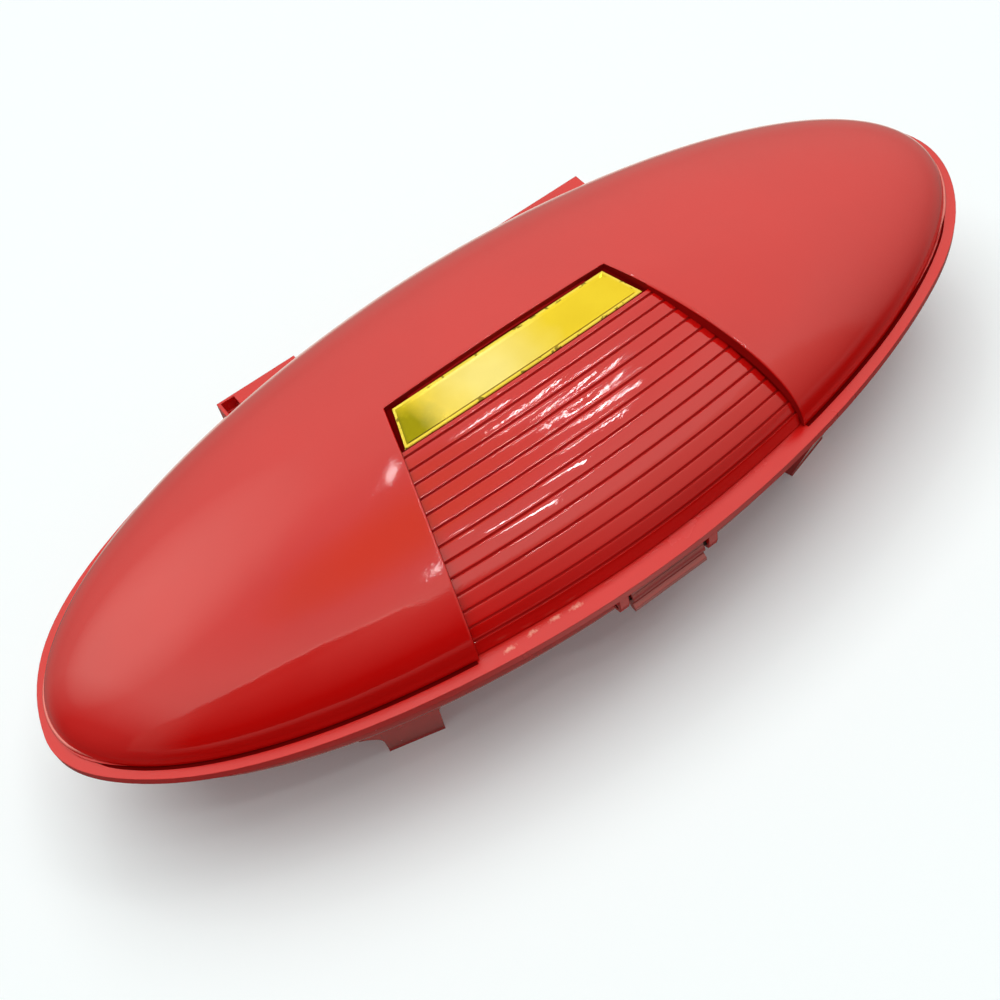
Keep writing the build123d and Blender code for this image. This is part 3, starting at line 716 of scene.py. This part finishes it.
def foot_web(number, side_x, side_y, toward_end):
    # toward_end = 1 for the long web on the side of the case's end, -1 for the short one
    start, end, spread, bend = long_web if toward_end > 0 else short_web
    turn = math.radians(side_x * side_y * foot_turn)
    out = np.array([side_y * math.sin(turn), side_y * math.cos(turn), 0.0])
    along = np.array([side_x * math.cos(turn), -side_x * math.sin(turn), 0.0]) * toward_end
    face = out * foot_out + np.array([0.0, 0.0, foot_top - foot_low])
    face /= np.linalg.norm(face)
    foot = np.array([side_x * foot_x, side_y * foot_y, foot_low])
    rows = []
    for u in np.linspace(0.0, 1.0, web_steps):
        at = foot + face * (start + (end - start) * u)
        edge = at + along * (foot_half_width + spread * u ** bend) + out * web_lean * u
        turned = edge - out * web_round_in + along * web_round_along
        rows.append([at + along * foot_half_width, edge, turned, edge - out * web_depth])
    inside_out = side_x * side_y * toward_end < 0
    web = grid_mesh("foot_web_" + str(number), rows, red_base, "base", flip=inside_out)
    web.data.set_sharp_from_angle(angle=math.radians(web_crease))


web_places = [(side_x, side_y, toward_end)
              for side_x in (-1, 1) for side_y in (-1, 1) for toward_end in (1, -1)]
for number, (side_x, side_y, toward_end) in enumerate(web_places):
    foot_web(number + 1, side_x, side_y, toward_end)


# the floor: the camera sees it nearly white, and everything else a little darker

floor_half = 6.0
floor_colour, floor_colour_seen = (0.60, 0.62, 0.62), (0.875, 0.912, 0.905)
floor_glow_colour, floor_glow_near, floor_glow_far = (0.90, 1.0, 1.0), 0.08, 0.66
floor_near, floor_far = 0.9, 3.4
floor_material, nodes, links, shader = new_material("pale_floor")
path = nodes.new("ShaderNodeLightPath")
links.new(mix_colour(nodes, links, path.outputs["Is Camera Ray"], floor_colour, floor_colour_seen),
          shader.inputs["Base Color"])
fill(links, shader.inputs["Emission Color"], floor_glow_colour)
# far from the lamp the floor is kept as pale as it is near the case
coords = nodes.new("ShaderNodeTexCoord").outputs["Object"]
from_middle = vector_step(nodes, links, "LENGTH", coords)["Value"]
glow = ramp(nodes, links, from_middle, floor_near, floor_far, floor_glow_near, floor_glow_far)
links.new(join(nodes, links, "MULTIPLY", path.outputs["Is Camera Ray"], glow),
          shader.inputs["Emission Strength"])
shader.inputs["Roughness"].default_value = 0.55
shader.inputs["Specular IOR Level"].default_value = 0.0
floor_mesh = bpy.data.meshes.new("floor")
floor_mesh.from_pydata([(-floor_half, -floor_half, 0), (floor_half, -floor_half, 0),
                        (floor_half, floor_half, 0), (-floor_half, floor_half, 0)], [], [(0, 1, 2, 3)])
floor = bpy.data.objects.new("floor", floor_mesh)
floor_mesh.materials.append(floor_material)
scene.collection.objects.link(floor)
floor.visible_glossy = False


# the room: an even dim light, and a fuller picture of it that only the gloss sees

ambient, ambient_colour = 0.22, (0.92, 0.99, 1.0)
room_seen = 0.75
room_colour, room_colour_overhead = (1.0, 0.955, 0.85), (1.0, 0.70, 0.38)
bright_toward = (-0.45, 0.58, 0.68)
world = bpy.data.worlds.new("studio")
scene.world = world
world.use_nodes = True
nodes, links = world.node_tree.nodes, world.node_tree.links
background = nodes["Background"]
looking = nodes.new("ShaderNodeTexCoord").outputs["Generated"]
side, depth, height = split_axes(nodes, links, looking)


# these three add a step to the node tree that is being made

def band(source, start, end, low_value, high_value):
    return ramp(nodes, links, source, start, end, low_value, high_value)


def plus(first, second):
    return join(nodes, links, "ADD", first, second)


def times(first, second):
    return join(nodes, links, "MULTIPLY", first, second)


# dim below, brighter with height, less bright overhead
around = plus(band(height, -0.80, -0.45, 0.12, 0.35), band(height, -0.45, 0.0, 0.0, 0.35))
around = plus(around, band(height, 0.0, 0.68, 0.0, 1.25))
around = plus(around, band(height, 0.86, 0.96, 0.0, -0.45))
# dark low down towards the front, and dim on the left
low_front = times(band(depth, -0.60, -0.20, 1.0, 0.0), band(height, -0.30, -0.05, 0.95, 0.0))
low_front = times(low_front, band(height, -0.80, -0.62, 0.0, 1.0))
around = times(around, join(nodes, links, "SUBTRACT", 1.0, low_front))
around = times(around, band(side, -0.90, -0.62, 0.28, 1.0))
# the pale floor in front, seen in the latch and the front wall
front_floor = times(band(depth, -0.50, -0.30, 0.70, 0.0), band(height, -0.80, -0.62, 1.0, 0.0))
around = plus(around, times(front_floor, band(side, -0.05, 0.20, 0.1, 1.0)))
# and the pale floor behind, seen along the outline of the lid
back_floor = times(band(depth, 0.25, 0.45, 0.0, 0.75), band(height, -0.55, -0.40, 1.0, 0.0))
around = plus(around, times(back_floor, band(side, -0.12, 0.02, 0.0, 1.0)))
# a brighter place high up behind on the left
toward = vector_step(nodes, links, "DOT_PRODUCT", looking, bright_toward)["Value"]
total = plus(around, band(toward, 0.88, 0.98, 0.0, 1.0))
path = nodes.new("ShaderNodeLightPath")
strength = mix_value(nodes, links, path.outputs["Is Glossy Ray"], ambient, total)
# the camera sees a white room beyond the floor
white_room = times(path.outputs["Is Camera Ray"], room_seen)
links.new(plus(strength, white_room), background.inputs["Strength"])
seen = mix_colour(nodes, links, band(height, 0.955, 0.998, 0.0, 1.0), room_colour, room_colour_overhead)
links.new(mix_colour(nodes, links, path.outputs["Is Glossy Ray"], ambient_colour, seen),
          background.inputs["Color"])


# the lamps: one large soft one, and small ceiling lamps that make the dashes on the gloss

aim = (0.0, -0.02, 0.06)
key_place, key_size_x, key_size_y, key_power = (-0.05, 0.30, 2.2), 2.6, 2.4, 48.0
# each ceiling lamp is given as the directions of its two ends from the lid
lamp_ends = [((0.217, 0.135), (0.268, 0.176)), ((0.238, 0.028), (0.317, 0.068)),
             ((0.272, -0.018), (0.350, 0.020)), ((0.332, -0.050), (0.380, -0.010)),
             ((0.300, -0.030), (0.396, -0.070)), ((0.265, -0.125), (0.372, -0.149)),
             ((0.216, -0.300), (0.285, -0.342)), ((0.106, -0.425), (0.211, -0.450)),
             ((0.085, -0.294), (0.105, -0.312)), ((-0.035, -0.402), (0.005, -0.384)),
             ((0.055, 0.346), (0.085, 0.366))]
lamp_away, lamp_width, lamp_glow = 1.5, 0.011, 48.0
lamp_wider = [1.0, 0.9, 0.8, 0.8, 0.8, 1.0, 1.7, 2.0, 1.5, 4.0, 4.0]


def area_light(name, centre, target, size_x, size_y, power):
    data = bpy.data.lights.new(name, "AREA")
    data.shape = "RECTANGLE"
    data.size, data.size_y = size_x, size_y
    data.energy = power
    obj = bpy.data.objects.new(name, data)
    scene.collection.objects.link(obj)
    obj.location = centre
    away = Vector(centre) - Vector(target)
    obj.rotation_mode = "QUATERNION"
    obj.rotation_quaternion = away.to_track_quat("Z", "Y")
    return obj


key = area_light("overhead_softbox", key_place, aim, key_size_x, key_size_y, key_power)
key.visible_glossy = False
for number, (ends, wider) in enumerate(zip(lamp_ends, lamp_wider)):
    first, last = [Vector((x, y, math.sqrt(1.0 - x * x - y * y))) * lamp_away + Vector(aim)
                   for x, y in ends]
    length = (last - first).length
    wide = lamp_width * wider
    lamp = area_light("ceiling_lamp_" + str(number + 1), (first + last) / 2, aim, length, wide,
                      lamp_glow * math.pi * length * wide)
    along = (last - first).normalized()
    away = ((first + last) / 2 - Vector(aim)).normalized()
    lamp.rotation_quaternion = Matrix((along, away.cross(along), away)).transposed().to_quaternion()


# a dark screen in front, seen only in reflections, paler towards its top and its ends

screen_y = -0.45
card_colour = (0.02, 0.02, 0.02)
screen_glow_colour, line_glow_colour, line_glow = (1.0, 0.94, 0.80), (1.0, 0.92, 0.80), 5.0
screen_outline = [(-1.30, 0.0), (0.60, 0.0), (0.60, 0.60), (0.10, 0.62), (-0.03, 0.58), (-0.087, 0.60),
                  (-0.148, 0.69), (-0.303, 0.848), (-0.461, 0.880), (-0.658, 0.834), (-0.95, 0.75),
                  (-1.30, 0.55)]
line_places = [(-0.087, 0.60), (-0.148, 0.69), (-0.303, 0.848), (-0.461, 0.880), (-0.600, 0.848)]
line_height = 0.014
screen_material, nodes, links, shader = new_material("front_screen")
fill(links, shader.inputs["Base Color"], card_colour)
shader.inputs["Specular IOR Level"].default_value = 0.0
coords = nodes.new("ShaderNodeTexCoord").outputs["Object"]
across, out, up_it = split_axes(nodes, links, coords)
middle_part = times(band(up_it, 0.16, 0.62, 0.0, 0.80), band(across, -0.34, -0.16, 0.5, 1.0))
soft_top = times(band(up_it, 0.52, 0.61, 0.0, 0.45), band(across, -0.16, -0.05, 0.0, 1.0))
middle_part = plus(middle_part, soft_top)
right_part = band(up_it, 0.0, 0.58, 0.30, 1.55)
blend = mix_value(nodes, links, band(across, -0.06, 0.16, 0.0, 1.0), middle_part, right_part)
left_part = band(across, -0.86, -0.58, 0.38, 0.0)
links.new(plus(blend, left_part), shader.inputs["Emission Strength"])
fill(links, shader.inputs["Emission Color"], screen_glow_colour)
screen_mesh = bpy.data.meshes.new("front_screen")
screen_mesh.from_pydata([(x, screen_y, z) for x, z in screen_outline], [],
                        [tuple(range(len(screen_outline)))])
screen = bpy.data.objects.new("front_screen", screen_mesh)
screen_mesh.materials.append(screen_material)

# a thin bright line along its top
line_material, nodes, links, shader = new_material("screen_top_line")
fill(links, shader.inputs["Base Color"], card_colour)
fill(links, shader.inputs["Emission Color"], line_glow_colour)
shader.inputs["Emission Strength"].default_value = line_glow
line_mesh = bpy.data.meshes.new("screen_top_line")
line_low = [(x, screen_y, z) for x, z in line_places]
line_top = [(x, screen_y, z + line_height) for x, z in line_places]
count = len(line_places)
line_mesh.from_pydata(line_low + line_top, [],
                      [(k, k + 1, k + count + 1, k + count) for k in range(count - 1)])
screen_line = bpy.data.objects.new("screen_top_line", line_mesh)
line_mesh.materials.append(line_material)
for card in (screen, screen_line):
    scene.collection.objects.link(card)
    card.visible_camera = False
    card.visible_diffuse = False
    card.visible_shadow = False


# the camera, at the photo's viewing angle

camera_lens, camera_film = 55.10, 36.0
nearest_seen, farthest_seen = 0.01, 30.0
camera_place = (-0.107599, -0.208932, 0.344123)
camera_right = (0.79893053, -0.5848508, -0.14021256)
camera_up = (0.5513481, 0.6190944, 0.55922929)
camera_back = (-0.24026088, -0.52409128, 0.81706979)
camera_data = bpy.data.cameras.new("camera")
camera_data.sensor_width = camera_film
camera_data.lens = camera_lens
camera_data.clip_start = nearest_seen
camera_data.clip_end = farthest_seen
camera = bpy.data.objects.new("camera", camera_data)
scene.collection.objects.link(camera)
scene.camera = camera
turned = Matrix((camera_right, camera_up, camera_back)).transposed().to_4x4()
camera.matrix_world = Matrix.Translation(camera_place) @ turned

scene.view_settings.view_transform = "Standard"
